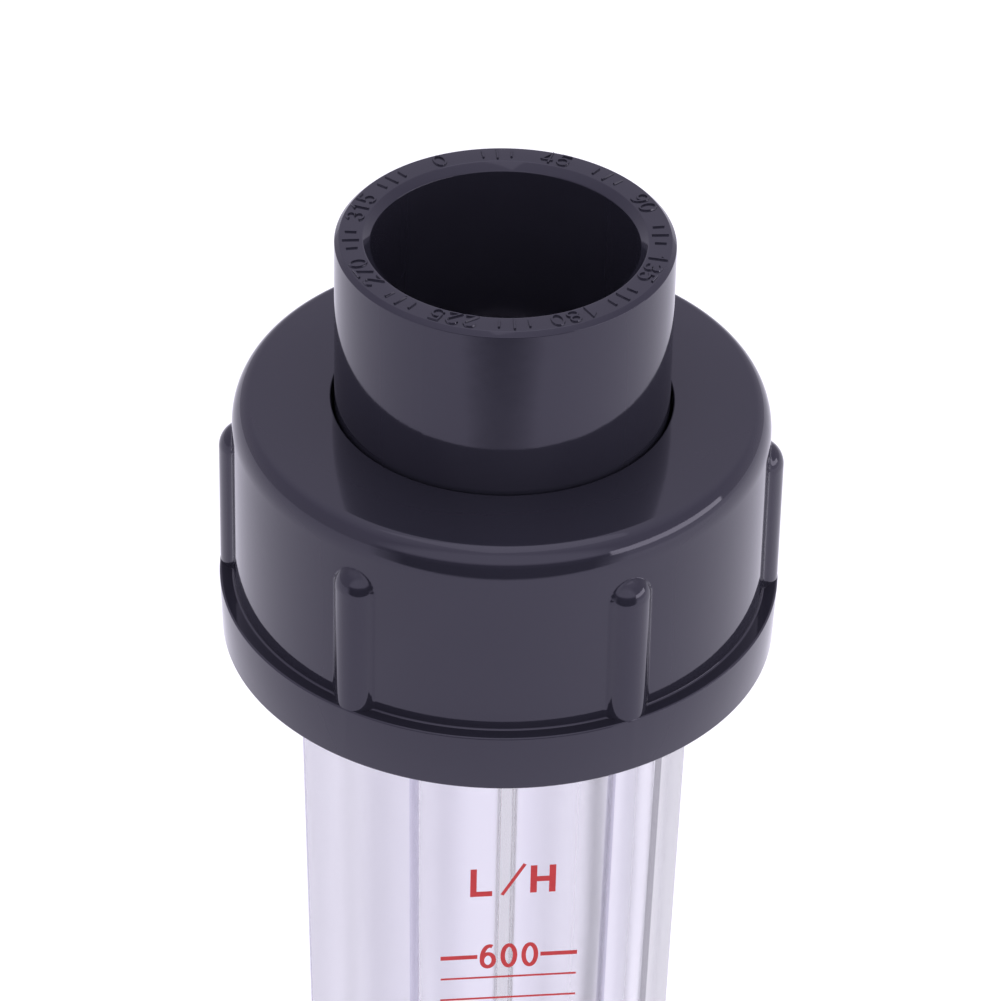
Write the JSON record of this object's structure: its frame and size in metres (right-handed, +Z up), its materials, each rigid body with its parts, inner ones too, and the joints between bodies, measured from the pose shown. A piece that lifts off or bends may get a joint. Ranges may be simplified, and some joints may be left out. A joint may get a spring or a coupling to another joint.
{
  "type": "rotameter",
  "caption": "Variable-area flow meter: clear tapered hexagonal tube with a steel float, guide ribs and end stops, and a ribbed union nut with a pipe socket at each end.",
  "frame": {"origin": "centre of the lower tailpiece's rim, which the part stands on", "axes": "+Z up along the tube, in the direction of flow; the printed scale faces -Y; +X to the reader's right"},
  "size_m": [0.0434, 0.0434, 0.228],
  "materials": {
    "clear_tube": "clear moulded plastic, polished",
    "charcoal_pipe": "glossy moulded plastic",
    "charcoal_nut": "glossy moulded plastic",
    "seal": "satin",
    "stop": "satin moulded plastic",
    "float_steel": "fine turned"
  },
  "bodies": {
    "tube": {"measuring_tube": "clear_tube", "upper_float_stop": "stop", "lower_float_stop": "stop", "upper_o_ring": "seal", "lower_o_ring": "seal"},
    "float": {"float": "float_steel"},
    "upper_tail": {"upper_tailpiece": "charcoal_pipe"},
    "upper_nut": {"upper_union_nut": "charcoal_nut"},
    "lower_tail": {"lower_tailpiece": "charcoal_pipe"},
    "lower_nut": {"lower_union_nut": "charcoal_nut"}
  },
  "joints": [
    {"name": "float_rise", "type": "slide", "parent": "tube", "child": "float", "axis": [0, 0, 1], "range_m": [0, 0.147]},
    {"name": "upper_draw", "type": "slide", "parent": "tube", "child": "upper_tail", "axis": [0, 0, 1], "range_m": [0, 0.01201]},
    {"name": "upper_nut_turn", "type": "hinge", "parent": "upper_tail", "child": "upper_nut", "pos_m": [0, 0, 0.2], "axis": [0, 0, 1], "range_deg": [0, 1440]},
    {"name": "lower_draw", "type": "slide", "parent": "tube", "child": "lower_tail", "axis": [0, 0, -1], "range_m": [0, 0.01201]},
    {"name": "lower_nut_turn", "type": "hinge", "parent": "lower_tail", "child": "lower_nut", "pos_m": [0, 0, 0.028], "axis": [0, 0, -1], "range_deg": [0, 1440]}
  ],
  "couplings": [
    {"joint": "upper_draw", "follows": "upper_nut_turn", "m_per_rad": 0.00047746},
    {"joint": "lower_draw", "follows": "lower_nut_turn", "m_per_rad": 0.00047746}
  ]
}
